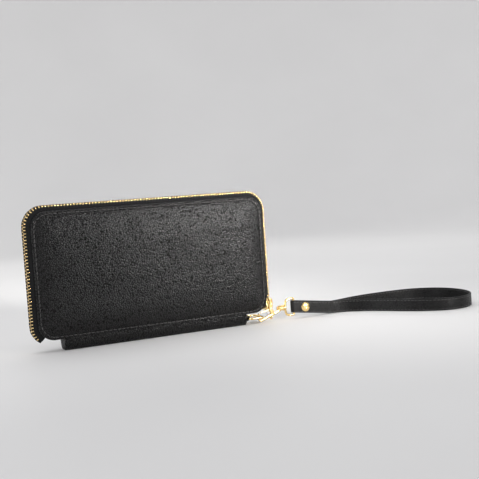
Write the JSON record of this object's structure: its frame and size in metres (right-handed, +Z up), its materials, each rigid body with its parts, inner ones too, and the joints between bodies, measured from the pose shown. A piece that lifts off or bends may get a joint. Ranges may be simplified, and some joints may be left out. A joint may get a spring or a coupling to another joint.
{
  "type": "wristlet wallet",
  "caption": "Long zip-around leather wallet with a padded cover, inner card leaves and coin pocket, and a clip-on leather wrist strap.",
  "frame": {"origin": "middle of the flat underside of the spine, where the wallet stands", "axes": "+X along the wallet towards the wrist strap, -Y out of the front cover, +Z up"},
  "size_m": [0.3712, 0.0831, 0.1088],
  "materials": {
    "grained_leather": "pebble-grained black leather, soft sheen",
    "spine_leather": "grained black leather",
    "inner_leather": "smooth black leather",
    "strap_leather": "black leather with painted edges",
    "lining_cloth": "black twill lining",
    "zip_tape": "black woven tape",
    "thread": "waxed black thread",
    "foam": "thin padding",
    "board": "bonded leather stiffening board",
    "zip_brass": "pale gold, polished",
    "gold_metal": "polished pale gold",
    "spring_steel": "bright"
  },
  "bodies": {
    "back_cover": {"back_panel": "grained_leather", "back_padding": "foam", "back_board": "board", "back_lining": "lining_cloth", "back_zip_tape": "zip_tape", "back_zip_teeth": "zip_brass", "back_stitching": "thread", "back_card_leaf_1": "inner_leather", "back_card_leaf_2": "inner_leather", "back_card_leaf_3": "inner_leather", "back_card_leaf_4": "inner_leather", "spine": "spine_leather", "spine_lining": "lining_cloth", "ring_tab": "spine_leather", "zip_stops": "zip_brass"},
    "coin_pocket": {"coin_pocket_front_wall": "inner_leather", "coin_pocket_back_wall": "inner_leather", "coin_pocket_binding": "inner_leather", "coin_pocket_lining": "lining_cloth", "coin_zip_front_tape": "zip_tape", "coin_zip_back_tape": "zip_tape", "coin_zip_teeth": "zip_brass", "coin_zip_stops": "zip_brass", "front_left_gusset": "inner_leather", "front_right_gusset": "inner_leather", "back_left_gusset": "inner_leather", "back_right_gusset": "inner_leather"},
    "front_cover": {"front_panel": "grained_leather", "front_padding": "foam", "front_board": "board", "front_lining": "lining_cloth", "front_zip_tape": "zip_tape", "front_zip_teeth": "zip_brass", "front_stitching": "thread", "front_card_leaf_1": "inner_leather", "front_card_leaf_2": "inner_leather", "front_card_leaf_3": "inner_leather", "front_card_leaf_4": "inner_leather"},
    "outer_slider": {"zip_slider": "gold_metal"},
    "outer_puller": {"zip_puller": "gold_metal"},
    "coin_slider": {"coin_zip_slider": "gold_metal"},
    "coin_puller": {"coin_zip_puller": "gold_metal"},
    "ring": {"spine_ring": "gold_metal"},
    "hook": {"hook_body": "gold_metal", "gate_pin": "spring_steel", "gate_spring": "spring_steel"},
    "gate": {"hook_gate": "gold_metal"},
    "swivel": {"swivel_eye": "gold_metal"},
    "strap": {"wrist_strap": "strap_leather", "rivet_cap": "gold_metal", "rivet_back": "gold_metal"}
  },
  "joints": [
    {"name": "pocket_hinge", "type": "hinge", "parent": "back_cover", "child": "coin_pocket", "pos_m": [0, -0.008, 0.0091], "axis": [1, 0, 0], "range_deg": [0, 30], "deforming": ["back_left_gusset", "back_right_gusset"]},
    {"name": "cover_hinge", "type": "hinge", "parent": "coin_pocket", "child": "front_cover", "pos_m": [0, -0.008, 0.0091], "axis": [1, 0, 0], "range_deg": [0, 30], "deforming": ["front_left_gusset", "front_right_gusset"]},
    {"name": "outer_zip_slide", "type": "slide", "parent": "back_cover", "child": "outer_slider", "axis": [0, 0, 1], "range_m": [0, 0.072]},
    {"name": "outer_puller_hinge", "type": "hinge", "parent": "outer_slider", "child": "outer_puller", "pos_m": [0.10065, 0, 0.0146], "axis": [0, -1, 0], "range_deg": [0, 165]},
    {"name": "coin_zip_slide", "type": "slide", "parent": "coin_pocket", "child": "coin_slider", "axis": [-1, 0, 0], "range_m": [0, 0.13]},
    {"name": "coin_puller_hinge", "type": "hinge", "parent": "coin_slider", "child": "coin_puller", "pos_m": [0.066, 0, 0.08925], "axis": [0, 1, 0], "range_deg": [0, 90]},
    {"name": "ring_hinge", "type": "hinge", "parent": "back_cover", "child": "ring", "pos_m": [0.0775, 0, 0.005], "axis": [0, 1, 0], "range_deg": [-4, 15]},
    {"name": "hook_swing", "type": "hinge", "parent": "ring", "child": "hook", "pos_m": [0.0895, -0.0055, 0.005], "axis": [0, 0, 1], "range_deg": [-35, 0]},
    {"name": "gate_hinge", "type": "hinge", "parent": "hook", "child": "gate", "pos_m": [0.0976, -0.0055, 0.0103], "axis": [0, -1, 0], "range_deg": [0, 9], "stiffness_Nm_per_rad": 0.002, "springref_deg": -11.46, "deforming": ["gate_spring"]},
    {"name": "swivel", "type": "hinge", "parent": "hook", "child": "swivel", "pos_m": [0.108, -0.0055, 0.0102], "axis": [1, 0, 0], "continuous": true},
    {"name": "strap_swing", "type": "hinge", "parent": "swivel", "child": "strap", "pos_m": [0.1196, -0.0055, 0.0102], "axis": [0, 0, 1], "range_deg": [-60, 60]}
  ],
  "couplings": [
    {"joint": "cover_hinge", "follows": "pocket_hinge", "ratio": 1}
  ]
}
